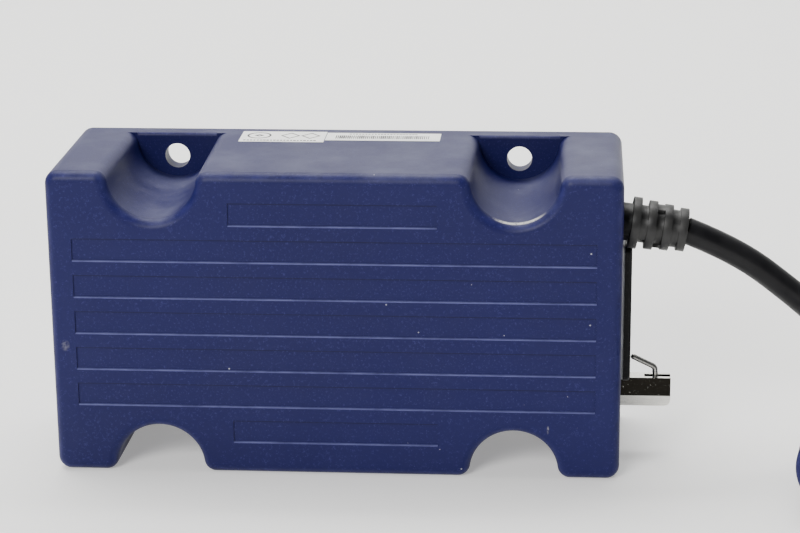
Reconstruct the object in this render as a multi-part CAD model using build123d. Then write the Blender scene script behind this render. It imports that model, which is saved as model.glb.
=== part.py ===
from build123d import *
import math
import os

# Brake controller unit: a sealed moulded box with a supply cable, an end socket and a wire latch.
# X runs along the box towards its cable end, Y from the front face to the mounting face, Z up.
# The origin is under the middle of the box, on the long face that it stands on. All in mm.

# ---- Driving dimensions: housing ----
housing_length = 140.0
housing_depth = 46.5
housing_height = 77.0
wall = 2.5
corner_radius = 3.3
front_edge_radius = 2.5
fit_gap = 0.05                 # radial clearance of screws, pins and sleeves in their holes
seat_gap = 0.15                # clearance around covers and inserts
hole_gap = 0.15                # radial clearance of screws in the pieces that they only pass through
label_thickness = 0.12
left_label = (-26.9, -5.3, 3.1, 13.9)     # low and high X, then near and far edge from the rear
right_label = (-5.1, 24.0, 4.0, 11.7)

# ---- Driving dimensions: mounting wells and flanges ----
mount_pitch_x = 88.0
mount_pitch_z = 65.0
mount_hole_radius = 3.2
well_front_radius = 11.0
well_back_radius = 10.3
well_inset = 1.05              # the wells' arc centres lie this far inside the long faces
lip_radius = 3.0
flange_thickness = 5.0
flange_edge_radius = 0.9

# ---- Driving dimensions: shallow bands on the front face ----
band_pitch = 9.28
band_height = 5.5
band_recess = 0.35
band_rise = 0.5                # the band pattern sits this far above mid-height
long_band_length = 127.6
short_band_length = 50.6

# ---- Driving dimensions: back cover ----
cover_thickness = 3.0
cover_setback = 0.5            # the cover lies this far inside the mounting face
gasket_thickness = 1.0
rebate_rim = 1.2
cover_screw_radius = 1.5
cover_screw_length = 10.0
cover_head_radius = 2.7
cover_head_height = 1.8
counterbore_depth = 2.0
cover_hole_gap = 0.2
boss_radius = 4.3
boss_edge_distance = 6.6       # boss centres from the long faces and the ends
boss_length = 14.0

# ---- Driving dimensions: circuit board and its parts ----
board_length = 122.0
board_height = 43.0
board_thickness = 1.6
standoff_height = 5.15
standoff_radius = 3.2
board_screw_radius = 1.25
board_screw_length = 6.0
board_head_radius = 2.3
board_head_height = 1.6
board_drive_depth = 0.8
board_hole_pitch_x = 98.0
board_hole_pitch_z = 35.0

# ---- Driving dimensions: components; heights are above the board ----
sink_edge_distance = 8.5       # the sink's plate above the board's lower edge
sink_end_margin = 8.0
sink_height = 24.0
sink_plate = 2.5
fin_length = 5.5
fin_thickness = 1.2
fin_count = 8
transistor_places = (-36.0, -22.0, -8.0, 6.0)
package_width = 10.0
package_base = 3.5
package_top = 12.5
package_thickness = 4.4
tab_top = 18.7
tab_thickness = 1.3
tab_screw_height = 15.5
tab_screw_radius = 1.25
leg_pitch = 2.54
leg_width = 0.8
leg_offset = (1.6, 2.2)
upper_row_rise = 8.0           # the upper row of components above the board's middle
capacitor_places = (-50.0, -36.0)
capacitor_radius = 6.2
capacitor_height = 22.0
capacitor_recess = 0.4
relay_x = -18.0
relay_size = (15.2, 12.4, 15.6)
relay_edge_radius = 0.6
choke_x = 3.0
choke_core_radii = (4.2, 7.0)
choke_core_heights = (2.0, 7.0)
choke_winding_radii = (2.6, 8.6)
choke_winding_height = 8.9
winding_gap = 0.05
chip_x = 23.0
chip_width = 10.0
chip_heights = (0.3, 2.1)
chip_lead_reach = 1.4
chip_lead_count = 8
chip_lead_pitch = 1.08
chip_lead_thickness = 0.5
sensor_x = 36.0
sensor_size = (8.0, 8.0, 3.2)
shunt_ends = (18.0, 32.0)
shunt_below_middle = (6.0, 1.0)
shunt_height = 2.2
shunt_thickness = 1.0
fuse_x = 25.6
fuse_below_middle = 13.5
fuse_radius = 2.6
fuse_length = 20.0
fuse_height = 4.4
clip_spacing = 16.0
clip_width = 4.4
clip_breadth = 7.2
clip_height = 6.6
clip_mouth = 4.0

# ---- Driving dimensions: end socket ----
bezel_height = 35.5
bezel_width = 18.5
bezel_thickness = 1.8
bezel_corner_radius = 2.0
bezel_edge_radius = 0.8
bezel_head_radius = 1.95
bezel_head_height = 1.0
socket_gasket_thickness = 0.7
mouth_height = 24.2
mouth_width = 11.2
mouth_depth = 12.2
insert_wall = 1.0
insert_floor = 4.5
insert_flange_thickness = 2.6
bezel_screw_radius = 1.0
bezel_screw_y = 6.2
bezel_screw_z = 14.9
contact_rows = (-2.4, 2.4)
contact_count = 5
contact_pitch = 4.6
contact_thickness = 0.8
contact_breadth = 2.2
contact_reach = 7.5
tail_breadth = 1.0
contact_gap = 0.03

# ---- Driving dimensions: latch bar and wire latch ----
bar_width = 4.1
bar_bottom = 11.6
bar_top = 19.6
bar_reach = 12.9               # how far the bar stands out of the end face
bar_lower_bevel = 3.2
bar_toe_radius = 1.6
bar_foot_thickness = 2.5
bar_foot_width = 26.0
bar_foot_height = 8.6
bar_screw_radius = 1.5
bar_screw_y = 9.0
pad_thickness = 3.6
slot_width = 1.9
slot_length = 6.6
slot_depth = 5.6
pin_radius = 0.6
pivot_setback = 2.3            # pin centre from the bar's outer end
pivot_drop = 2.3               # pin centre below the bar's top face
wire_radius = 0.7
wire_knee = (-1.7, 4.6)        # knee and tip from the pin centre, along X and Z
wire_tip_gap = 0.3
wire_tip_rise = 7.2
wire_bend_radius = 1.3

# ---- Driving dimensions: strain relief and supply cable ----
cable_radius = 3.3
gland_y = -10.25
gland_z = 62.9
gland_droop = 8.0              # degrees below the horizontal
gland_length = 15.5
gland_neck_radius = 4.6
gland_neck_length = 1.9
gland_base_radius = 6.35
gland_end_radius = 5.3
gland_ring_width = 2.0
gland_ring_count = 4
gland_web_angle = 55.0
gland_flange_radius = 6.3
gland_flange_thickness = 2.4
clamp_setback = 5.0            # the clamp's middle from the end wall's inner face
clamp_seat_drop = 1.7
clamp_screw_rise = 8.2
clamp_post_radius = 3.0
clamp_width = 4.4
clamp_band = 1.1
clamp_head_radius = 2.2
clamp_head_height = 1.5
coil_centre = (173.8, 37.8)
coil_mean_radius = 33.0
coil_lift = 1.0                # the ties' thickness under the coil
tie_width = 9.0
tie_thickness = 0.9
plug_radius = 11.8
plug_length = 35.0
plug_boot_length = 18.0
plug_heading = 10.0            # degrees off the -Y direction, towards -X
plug_pin_setback = 6.0         # pin tips below the plug's mouth
plug_mouth_depth = 15.0
plug_wall = 2.2
plug_insert_height = 3.5
tail_length = 36.0
plug_groove_count = 12
plug_groove_radius = 1.1
plug_groove_start = 6.0
plug_groove_length = 18.0
plug_rear_radius = 3.0
plug_rim_radius = 1.0
pin_spread = 4.366             # the pins' distance from the plug's axis
plug_pin_radius = 1.2
plug_pin_seat = 1.0
boot_groove_count = 4
boot_groove_radius = 0.8
boot_end_radii = (4.6, 6.8)

# ---- Worked-out places ----
half_length = housing_length / 2
half_depth = housing_depth / 2
middle_z = housing_height / 2
mount_x = mount_pitch_x / 2
mount_rows = (middle_z - mount_pitch_z / 2, middle_z + mount_pitch_z / 2)
cover_outer_y = half_depth - cover_setback
cover_inner_y = cover_outer_y - cover_thickness
ledge_y = cover_inner_y - gasket_thickness
front_inner_y = -half_depth + wall
inner_end_x = half_length - wall
board_low_y = front_inner_y + standoff_height
board_top_y = board_low_y + board_thickness
bezel_outer_x = half_length + socket_gasket_thickness + bezel_thickness
bar_end_x = half_length + bar_reach
pivot_x = bar_end_x - pivot_setback
pivot_z = bar_top - pivot_drop
boss_places = [
    (x, z)
    for x in (-half_length + boss_edge_distance, 0.0, half_length - boss_edge_distance)
    for z in (boss_edge_distance, housing_height - boss_edge_distance)
]
board_holes = [
    (side * board_hole_pitch_x / 2, middle_z + level * board_hole_pitch_z / 2)
    for side in (-1, 1) for level in (-1, 1)
]
gland_base = Vector(half_length, gland_y, gland_z)
gland_axis = Vector(math.cos(math.radians(gland_droop)), 0, -math.sin(math.radians(gland_droop)))
gland_end = gland_base + gland_axis * gland_length


# ---- Small helpers ----
def block(low, high):
    """A box between two corners."""
    size = [b - a for a, b in zip(low, high)]
    return Pos(*low) * Box(*size, align=(Align.MIN, Align.MIN, Align.MIN))


def rod(start, end, radius):
    """A cylinder from one point to another."""
    start = Vector(*start)
    axis = Vector(*end) - start
    return Plane(origin=start, z_dir=axis) * Cylinder(
        radius, axis.length, align=(Align.CENTER, Align.CENTER, Align.MIN)
    )


def slab(outline, low_y, high_y):
    """An XZ outline extruded between two depths."""
    return extrude(Plane.XZ.offset(-high_y) * outline, amount=high_y - low_y)


def end_plate(outline, low_x, high_x):
    """A YZ outline extruded between two places along X."""
    return extrude(Plane.YZ.offset(low_x) * outline, amount=high_x - low_x)


def cap_screw(seat, direction, shank_radius, length, head_radius, head_height, recess=0.9):
    """A round-headed screw: its head stands on the seat and its shank runs along direction."""
    seat = Vector(*seat)
    direction = Vector(*direction)
    shank = rod(seat, seat + direction * length, shank_radius)
    head = rod(seat - direction * head_height, seat, head_radius)
    top = Plane(origin=seat - direction * head_height, z_dir=direction)
    drive = extrude(top * RegularPolygon(head_radius * 0.42, 6), amount=recess)
    return shank + head - drive


def well_face(radius):
    """A well's cross-section with its lips: the long face is y = 0 and the well goes down."""
    across = math.sqrt((radius + lip_radius) ** 2 - (lip_radius - well_inset) ** 2)
    share = radius / (radius + lip_radius)
    meet_x = across * share
    meet_y = -well_inset - (lip_radius - well_inset) * share
    right_lip = TangentArc([(across, 0), (meet_x, meet_y)], tangent=(-1, 0))
    bowl = ThreePointArc((meet_x, meet_y), (0, -well_inset - radius), (-meet_x, meet_y))
    left_lip = TangentArc([(-across, 0), (-meet_x, meet_y)], tangent=(1, 0))
    outside = Polyline((-across, 0), (-across, 6), (across, 6), (across, 0))
    return make_face(right_lip + bowl + left_lip + outside)


def well_cutter(x, z, turn):
    """One tapered well, from the front face back to the flange."""
    place = Pos(x, z) * Rot(0, 0, turn)
    front = Plane.XZ.offset(half_depth + 1.0) * (place * well_face(well_front_radius))
    back = Plane.XZ.offset(-half_depth + flange_thickness) * (place * well_face(well_back_radius))
    return loft([front, back], ruled=True)


def flange_round(x, z, side):
    """What rounds a flange's outer front edge: a bar with a cylinder taken out."""
    edge_y = half_depth - flange_thickness
    centre_z = z - side * flange_edge_radius
    reach = well_back_radius
    corner = block(
        (x - reach, edge_y - 0.5, min(centre_z, z + side)),
        (x + reach, edge_y + flange_edge_radius, max(centre_z, z + side)),
    )
    centre_y = edge_y + flange_edge_radius
    start = (x - reach - 1, centre_y, centre_z)
    return corner - rod(start, (x + reach + 1, centre_y, centre_z), flange_edge_radius)


def inner_outline(shrink):
    """The housing's inside outline, shrunk from its outside by a wall."""
    outline = Pos(0, middle_z) * RectangleRounded(
        housing_length - 2 * shrink, housing_height - 2 * shrink, max(corner_radius - shrink, 0.8)
    )
    for x in (-mount_x, mount_x):
        for z in (well_inset, housing_height - well_inset):
            outline -= Pos(x, z) * Circle(well_front_radius + shrink)
    return outline


# ---- Housing ----
def housing_shell():
    """One-piece moulding: tapered wells, flanges, front bands, bosses and end openings."""
    outline = Pos(0, middle_z) * RectangleRounded(housing_length, housing_height, corner_radius)
    shell = slab(outline, -half_depth, half_depth)
    for x in (-mount_x, mount_x):
        shell -= well_cutter(x, housing_height, 0)
        shell -= well_cutter(x, 0, 180)
    front = shell.faces().sort_by(Axis.Y)[0]
    shell = fillet(front.outer_wire().edges(), front_edge_radius)
    for x in (-mount_x, mount_x):
        shell -= flange_round(x, housing_height, 1)
        shell -= flange_round(x, 0, -1)
    for step in range(-3, 4):
        length = short_band_length if abs(step) == 3 else long_band_length
        band = Pos(0, middle_z + band_rise + step * band_pitch) * Rectangle(length, band_height)
        shell -= slab(band, -half_depth - 1, -half_depth + band_recess)
    shell -= slab(inner_outline(wall), front_inner_y, half_depth + 1)
    shell -= slab(inner_outline(rebate_rim), ledge_y, half_depth + 1)
    shell += housing_bosses()
    for x in (-mount_x, mount_x):
        for z in mount_rows:
            shell -= rod((x, 0, z), (x, half_depth + 1, z), mount_hole_radius)
    return shell - end_wall_openings()


def housing_bosses():
    """Cover-screw bosses, board standoffs, the clamp boss and the latch pad."""
    bosses = None
    for x, z in boss_places:
        post = rod((x, ledge_y - boss_length, z), (x, ledge_y, z), boss_radius)
        edge_z = 0.5 if z < middle_z else housing_height - 0.5
        low_y = ledge_y - boss_length
        post += block((x - 1.5, low_y, min(z, edge_z)), (x + 1.5, ledge_y, max(z, edge_z)))
        post -= rod((x, low_y + 1.5, z), (x, ledge_y + 1, z), cover_screw_radius + fit_gap)
        bosses = post if bosses is None else bosses + post
    for x, z in board_holes:
        post = rod((x, front_inner_y - 0.5, z), (x, board_low_y, z), standoff_radius)
        hole_radius = board_screw_radius + fit_gap
        bosses += post - rod((x, front_inner_y + 0.5, z), (x, board_low_y + 1, z), hole_radius)
    clamp_foot = (clamp_x, front_inner_y - 0.5, clamp_screw_z)
    clamp_post = rod(clamp_foot, (clamp_x, clamp_seat_y, clamp_screw_z), clamp_post_radius)
    clamp_post -= rod(
        (clamp_x, front_inner_y + 0.5, clamp_screw_z), (clamp_x, clamp_seat_y + 1, clamp_screw_z),
        board_screw_radius + fit_gap,
    )
    pad = block(
        (inner_end_x - pad_thickness, -bar_foot_width / 2, foot_low_z),
        (inner_end_x + 0.5, bar_foot_width / 2, foot_low_z + bar_foot_height),
    )
    for y in (-bar_screw_y, bar_screw_y):
        pad -= rod(
            (inner_end_x - pad_thickness - 1, y, foot_screw_z), (inner_end_x + 0.6, y, foot_screw_z),
            bar_screw_radius + fit_gap,
        )
    return bosses + clamp_post + pad


def end_wall_openings():
    """Openings in the cable end: the strain relief's hole, the socket cut-out and the bar's slot."""
    hole_start = (inner_end_x - 1, gland_y, gland_z)
    cut = rod(hole_start, (half_length + 1, gland_y, gland_z), gland_neck_radius + fit_gap)
    nose = Pos(0, middle_z) * RectangleRounded(
        mouth_width + 2 * insert_wall + 2 * seat_gap, mouth_height + 2 * insert_wall + 2 * seat_gap, 1.2
    )
    cut += end_plate(nose, inner_end_x - 1, half_length + 1)
    for y in (-bezel_screw_y, bezel_screw_y):
        for z in (middle_z - bezel_screw_z, middle_z + bezel_screw_z):
            cut += rod((inner_end_x - 1, y, z), (half_length + 1, y, z), bezel_screw_radius + fit_gap)
    slot = block(
        (inner_end_x - pad_thickness - 1, -bar_width / 2 - seat_gap, bar_bottom - seat_gap),
        (half_length + 1, bar_width / 2 + seat_gap, bar_top + seat_gap),
    )
    return cut + slot


clamp_x = inner_end_x - clamp_setback
clamp_seat_y = gland_y - clamp_seat_drop
clamp_screw_z = gland_z + clamp_screw_rise
foot_low_z = (bar_bottom + bar_top) / 2 - bar_foot_height / 2
foot_screw_z = foot_low_z + bar_foot_height / 2


def back_cover():
    """Flat cover in the housing's rear rebate."""
    cover = slab(inner_outline(rebate_rim + seat_gap), cover_inner_y, cover_outer_y)
    for x, z in boss_places:
        beyond = (x, cover_outer_y + 1, z)
        cover -= rod((x, cover_inner_y - 1, z), beyond, cover_screw_radius + cover_hole_gap)
        head_floor = (x, cover_outer_y - counterbore_depth, z)
        cover -= rod(head_floor, beyond, cover_head_radius + cover_hole_gap)
    return cover


def cover_gasket():
    """Rubber frame between the cover and the housing's ledge."""
    ring = inner_outline(rebate_rim + seat_gap) - inner_outline(wall + 0.3)
    gasket = slab(ring, ledge_y, cover_inner_y)
    for x, z in boss_places:
        gasket += rod((x, ledge_y, z), (x, cover_inner_y, z), boss_radius - 0.4)
    gasket = gasket & slab(inner_outline(rebate_rim + seat_gap), ledge_y, cover_inner_y)
    for x, z in boss_places:
        hole_radius = cover_screw_radius + cover_hole_gap
        gasket -= rod((x, ledge_y - 1, z), (x, cover_inner_y + 1, z), hole_radius)
    return gasket


def cover_screws():
    """Six thread-forming screws through the cover into the bosses."""
    return [
        cap_screw((x, cover_outer_y - counterbore_depth, z), (0, -1, 0), cover_screw_radius,
                  cover_screw_length, cover_head_radius, cover_head_height)
        for x, z in boss_places
    ]


# ---- Circuit board and its parts; they stand on the board's rear side ----
def board_block(x, z, width, height, tall):
    """A component body standing on the board."""
    low = (x - width / 2, board_top_y, z - height / 2)
    return block(low, (x + width / 2, board_top_y + tall, z + height / 2))


def circuit_board():
    """Glass-fibre board with holes for its screws and for the socket's contact tails."""
    outline = Pos(0, middle_z) * RectangleRounded(board_length, board_height, 1.5)
    board = slab(outline, board_low_y, board_top_y)
    for x, z in board_holes:
        board -= rod((x, board_low_y - 1, z), (x, board_top_y + 1, z), board_screw_radius + hole_gap)
    for tail in contact_tails(0.1):
        board -= tail
    return board


def board_screws():
    """Four screws through the board into its standoffs."""
    return [
        cap_screw((x, board_top_y, z), (0, -1, 0), board_screw_radius, board_screw_length,
                  board_head_radius, board_head_height, board_drive_depth)
        for x, z in board_holes
    ]


sink_low_z = middle_z - board_height / 2 + sink_edge_distance
sink_seat_z = sink_low_z + sink_plate
tab_screw_y = board_top_y + tab_screw_height
upper_row_z = middle_z + upper_row_rise


def heat_sink():
    """Finned aluminium bar that carries the power transistors."""
    start_x = transistor_places[0] - sink_end_margin
    end_x = transistor_places[-1] + sink_end_margin
    sink = block((start_x, board_top_y, sink_low_z), (end_x, board_top_y + sink_height, sink_seat_z))
    pitch = (sink_height - fin_thickness) / (fin_count - 1)
    for index in range(fin_count):
        y = board_top_y + index * pitch
        sink += block((start_x, y, sink_low_z - fin_length), (end_x, y + fin_thickness, sink_low_z))
    for x in transistor_places:
        low = (x, tab_screw_y, sink_low_z - 0.1)
        sink -= rod(low, (x, tab_screw_y, sink_seat_z + 0.5), tab_screw_radius + fit_gap)
    return sink


def power_transistors():
    """Four tab packages flat against the heat sink, with their legs down to the board."""
    bodies = []
    base_y = board_top_y + package_base
    top_y = board_top_y + package_top
    for x in transistor_places:
        left = x - package_width / 2
        right = x + package_width / 2
        body = block((left, base_y, sink_seat_z), (right, top_y, sink_seat_z + package_thickness))
        tab = block((left, top_y, sink_seat_z), (right, board_top_y + tab_top, sink_seat_z + tab_thickness))
        hole_radius = tab_screw_radius + hole_gap
        tab -= rod((x, tab_screw_y, sink_seat_z - 1), (x, tab_screw_y, sink_seat_z + 2), hole_radius)
        for step in (-1, 0, 1):
            leg_x = x + step * leg_pitch
            body += block(
                (leg_x - leg_width / 2, board_top_y, sink_seat_z + leg_offset[0]),
                (leg_x + leg_width / 2, base_y, sink_seat_z + leg_offset[1]),
            )
        bodies.append(body + tab)
    return bodies


def transistor_screws():
    """One screw through each transistor's tab into the heat sink."""
    seat_z = sink_seat_z + tab_thickness
    length = sink_plate + tab_thickness - 0.1
    return [
        cap_screw((x, tab_screw_y, seat_z), (0, 0, -1), tab_screw_radius, length, 2.2, 1.5, 0.7)
        for x in transistor_places
    ]


def smoothing_capacitors():
    """Two electrolytic cans standing on the board, each with a rolled rim."""
    cans = []
    top_y = board_top_y + capacitor_height
    for x in capacitor_places:
        can = rod((x, board_top_y, upper_row_z), (x, top_y, upper_row_z), capacitor_radius)
        floor = (x, top_y - capacitor_recess, upper_row_z)
        can -= rod(floor, (x, top_y + 0.5, upper_row_z), capacitor_radius - 1.0)
        cans.append(can)
    return cans


def control_relay():
    """Sealed relay that feeds the brake output."""
    width, height, tall = relay_size
    case = board_block(relay_x, upper_row_z, width, height, tall)
    return fillet(case.edges().filter_by(Axis.Y), relay_edge_radius)


def choke_ring(heights, radii, overrun=1.0):
    """A ring that stands on the choke's axis, between two heights and two radii."""
    low_y = board_top_y + heights[0]
    high_y = board_top_y + heights[1]
    ring = rod((choke_x, low_y, upper_row_z), (choke_x, high_y, upper_row_z), radii[1])
    bore = rod((choke_x, low_y - overrun, upper_row_z), (choke_x, high_y + overrun, upper_row_z), radii[0])
    return ring - bore


def choke_core():
    """Ferrite ring of the output choke, standing clear of the board inside its winding."""
    return choke_ring(choke_core_heights, choke_core_radii)


def choke_winding():
    """Copper winding closely round the ferrite ring, with its feet on the board."""
    heights = (choke_core_heights[0] - winding_gap, choke_core_heights[1] + winding_gap)
    radii = (choke_core_radii[0] - winding_gap, choke_core_radii[1] + winding_gap)
    return choke_ring((0, choke_winding_height), choke_winding_radii) - choke_ring(heights, radii)


def controller_chip():
    """Flat controller package with its rows of leads."""
    half = chip_width / 2
    low_y = board_top_y + chip_heights[0]
    high_y = board_top_y + chip_heights[1]
    chip = block((chip_x - half, low_y, upper_row_z - half), (chip_x + half, high_y, upper_row_z + half))
    reach = half + chip_lead_reach
    first_z = upper_row_z - half + 1.2
    for index in range(chip_lead_count):
        z = first_z + index * chip_lead_pitch
        lead_top_y = board_top_y + chip_lead_thickness
        chip += block((chip_x - reach, board_top_y, z), (chip_x + reach, lead_top_y, z + chip_lead_thickness))
    return chip


def motion_sensor():
    """Inertia sensor that measures the vehicle's slowing."""
    width, height, tall = sensor_size
    return board_block(sensor_x, upper_row_z, width, height, tall)


def current_shunt():
    """Flat metal strip on two feet that measures the brake current."""
    low_x, high_x = shunt_ends
    low_z = middle_z - shunt_below_middle[0]
    high_z = middle_z - shunt_below_middle[1]
    strip_y = board_top_y + shunt_height
    strip = block((low_x, strip_y, low_z), (high_x, strip_y + shunt_thickness, high_z))
    for x in (low_x, high_x - shunt_thickness):
        strip += block((x, board_top_y, low_z), (x + shunt_thickness, strip_y, high_z))
    return strip


fuse_z = middle_z - fuse_below_middle
fuse_y = board_top_y + fuse_height


def fuse_clips():
    """Two spring clips that hold the fuse."""
    clips = []
    half = clip_width / 2
    for side in (-1, 1):
        x = fuse_x + side * clip_spacing / 2
        clip = block(
            (x - half, board_top_y, fuse_z - clip_breadth / 2),
            (x + half, board_top_y + clip_height, fuse_z + clip_breadth / 2),
        )
        clip -= rod((x - 3, fuse_y, fuse_z), (x + 3, fuse_y, fuse_z), fuse_radius + fit_gap)
        clip -= block((x - 3, fuse_y, fuse_z - clip_mouth / 2), (x + 3, fuse_y + 3, fuse_z + clip_mouth / 2))
        clips.append(clip)
    return clips


def glass_fuse():
    """Tube fuse in its clips."""
    half = fuse_length / 2
    return rod((fuse_x - half, fuse_y, fuse_z), (fuse_x + half, fuse_y, fuse_z), fuse_radius)


# ---- Cable entry inside the housing ----
core_rows = (-1.3, 1.3)
core_radius = 0.7
jacket_end_x = inner_end_x - 7.5
core_turn_x = (jacket_end_x - 1.6, jacket_end_x - 4.6)
terminal_top_z = gland_z - 6.4


def sheath(start_x, end_run, radius):
    """A round body along the cable's line through the wall, with its slight bend at the end face."""
    path = FilletPolyline(
        (start_x, gland_y, gland_z), gland_base, gland_base + gland_axis * end_run, radius=8.0
    )
    section = Plane(origin=path @ 0, z_dir=path % 0) * Circle(radius)
    return sweep(section, path=path)


def cable_entry():
    """The sheathed cable from the clamp through the strain relief."""
    return sheath(jacket_end_x, gland_length, cable_radius)


def cable_cores():
    """Four insulated cores, bent down from the cut sheath into the terminal block."""
    cores = []
    for y in core_rows:
        for turn_x, z in zip(core_turn_x, core_rows):
            path = FilletPolyline(
                (jacket_end_x, gland_y + y, gland_z + z), (turn_x, gland_y + y, gland_z + z),
                (turn_x, gland_y + y, terminal_top_z), radius=1.4,
            )
            section = Plane(origin=path @ 0, z_dir=path % 0) * Circle(core_radius)
            cores.append(sweep(section, path=path))
    return cores


def terminal_block():
    """Four-way crimp connector on the board."""
    low_x = core_turn_x[1] - 2.0
    high_x = core_turn_x[0] + 2.0
    low_y = gland_y + core_rows[0] - 2.0
    body = block((low_x, low_y, terminal_top_z - 7.5), (high_x, gland_y + core_rows[1] + 1.5, terminal_top_z))
    return body + block((low_x, board_top_y, terminal_top_z - 7.5), (high_x, low_y, terminal_top_z - 1.5))


def cable_clamp():
    """P-clip that grips the sheath, with its foot screwed to a boss."""
    inner = cable_radius + fit_gap
    low_x = clamp_x - clamp_width / 2
    high_x = clamp_x + clamp_width / 2
    ring = rod((low_x, gland_y, gland_z), (high_x, gland_y, gland_z), inner + clamp_band)
    foot = block(
        (low_x, clamp_seat_y, gland_z), (high_x, clamp_seat_y + clamp_band, clamp_screw_z + 2.6)
    )
    clip = ring + foot
    clip -= rod((clamp_x - 3, gland_y, gland_z), (clamp_x + 3, gland_y, gland_z), inner)
    return clip - rod(
        (clamp_x, clamp_seat_y - 1, clamp_screw_z), (clamp_x, clamp_seat_y + 2, clamp_screw_z),
        board_screw_radius + hole_gap,
    )


def clamp_screw():
    """Screw of the cable clamp."""
    return cap_screw(
        (clamp_x, clamp_seat_y + clamp_band, clamp_screw_z), (0, -1, 0), board_screw_radius, 6.5,
        clamp_head_radius, clamp_head_height, board_drive_depth,
    )


def strain_relief():
    """Rubber cage on the cable: neck, rings joined by staggered webs, and a flange inside the wall."""
    bore = cable_radius + fit_gap
    pitch = (gland_length - gland_neck_length - gland_ring_width) / (gland_ring_count - 1)
    outline = [(bore, -2.0), (gland_neck_radius, -2.0)]
    rings = []
    for index in range(gland_ring_count):
        low = gland_neck_length + index * pitch
        radius = gland_base_radius + (gland_end_radius - gland_base_radius) * index / (gland_ring_count - 1)
        high = low + gland_ring_width
        rings.append((low, high, radius))
        outline += [(gland_neck_radius, low), (radius, low), (radius, high)]
        outline.append((gland_neck_radius if index < gland_ring_count - 1 else bore, high))
    section = make_face(Plane.XZ * Polyline(*outline, close=True))
    cage = revolve(section, axis=Axis.Z)
    for index, (here, beyond) in enumerate(zip(rings, rings[1:])):
        web_low = here[1] - 0.3
        web_high = beyond[0] + 0.3
        web_outline = Polyline(
            (gland_neck_radius - 0.4, web_low), (beyond[2] - 0.3, web_low),
            (beyond[2] - 0.3, web_high), (gland_neck_radius - 0.4, web_high), close=True,
        )
        web = revolve(make_face(Plane.XZ * web_outline), axis=Axis.Z, revolution_arc=gland_web_angle)
        for turn in (0, 180):
            cage += Rot(0, 0, turn + 90 * index - gland_web_angle / 2) * web
    along = Plane(origin=gland_base, x_dir=(0, 1, 0), z_dir=gland_axis)
    outer = split(along * cage, bisect_by=Plane.YZ.offset(half_length), keep=Keep.TOP)
    flange_low = inner_end_x - gland_flange_thickness
    inner_radius = gland_neck_radius - 0.1
    inner = rod((flange_low, gland_y, gland_z), gland_base, inner_radius)
    inner += rod((flange_low, gland_y, gland_z), (inner_end_x, gland_y, gland_z), gland_flange_radius)
    inner -= rod((flange_low - 1, gland_y, gland_z), gland_base + Vector(1, 0, 0), bore + 0.1)
    return outer + inner


# ---- End socket ----
def plate_outline(shrink=0.0):
    """Rounded outline of the socket's outer plate."""
    width = bezel_width - 2 * shrink
    return Pos(0, middle_z) * RectangleRounded(width, bezel_height - 2 * shrink, bezel_corner_radius - shrink)


def mouth_outline(grow=0.0):
    """Rounded outline of the socket's mouth."""
    return Pos(0, middle_z) * RectangleRounded(mouth_width + 2 * grow, mouth_height + 2 * grow, 1.0)


def bezel_screw_places():
    """The four corner screws' places in the YZ plane."""
    return [
        (y, middle_z + z) for y in (-bezel_screw_y, bezel_screw_y) for z in (-bezel_screw_z, bezel_screw_z)
    ]


def socket_gasket():
    """Thin pale seal between the bezel and the end wall."""
    seal = end_plate(plate_outline(0.25) - mouth_outline(insert_wall + seat_gap), half_length,
                     half_length + socket_gasket_thickness)
    for y, z in bezel_screw_places():
        seal -= rod((half_length - 1, y, z), (half_length + 2, y, z), bezel_screw_radius + fit_gap)
    return seal


def socket_bezel():
    """Black outer frame of the socket, with rounded outer edges and countersunk screw holes."""
    low_x = half_length + socket_gasket_thickness
    frame = end_plate(plate_outline(), low_x, bezel_outer_x)
    outer = frame.faces().sort_by(Axis.X)[-1]
    frame = fillet(outer.outer_wire().edges(), bezel_edge_radius)
    frame -= end_plate(mouth_outline(), low_x - 1, bezel_outer_x + 1)
    for y, z in bezel_screw_places():
        frame -= rod((low_x - 1, y, z), (bezel_outer_x + 1, y, z), bezel_screw_radius + fit_gap)
        frame -= Plane(origin=(bezel_outer_x - bezel_head_height, y, z), z_dir=(1, 0, 0)) * Cone(
            bezel_screw_radius + fit_gap, bezel_head_radius + 0.1, bezel_head_height,
            align=(Align.CENTER, Align.CENTER, Align.MIN),
        )
    return frame


def bezel_screws():
    """Four countersunk screws through the bezel and the wall into the insert's flange."""
    screws = []
    for y, z in bezel_screw_places():
        end_x = inner_end_x - insert_flange_thickness
        head_x = bezel_outer_x - bezel_head_height
        shank = rod((end_x, y, z), (head_x, y, z), bezel_screw_radius)
        head = Plane(origin=(head_x, y, z), z_dir=(1, 0, 0)) * Cone(
            bezel_screw_radius, bezel_head_radius, bezel_head_height - fit_gap,
            align=(Align.CENTER, Align.CENTER, Align.MIN),
        )
        slot = block((bezel_outer_x - 0.55, y - 1.5, z - 0.25), (bezel_outer_x + 1, y + 1.5, z + 0.25))
        screws.append(shank + head - slot)
    return screws


insert_outer_x = half_length + socket_gasket_thickness
insert_floor_x = insert_outer_x - mouth_depth
insert_back_x = insert_floor_x - insert_floor


def contact_blade(y, z, grow=0.0):
    """One straight blade through the insert's floor."""
    return block(
        (insert_back_x - 0.5, y - contact_thickness / 2 - grow, z - contact_breadth / 2 - grow),
        (insert_floor_x + contact_reach, y + contact_thickness / 2 + grow, z + contact_breadth / 2 + grow),
    )


def contact_tail(y, z, row, grow=0.0):
    """The blade's bent tail, down to the board."""
    tail_x = insert_back_x - 1.3 - row * 2.2
    low_y = board_low_y - 1.0
    across = contact_thickness / 2 + grow
    tall = tail_breadth / 2 + grow
    tail = block(
        (tail_x - across, low_y - grow, z - tall), (tail_x + across, y + contact_thickness / 2, z + tall)
    )
    return tail, tail_x


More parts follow.
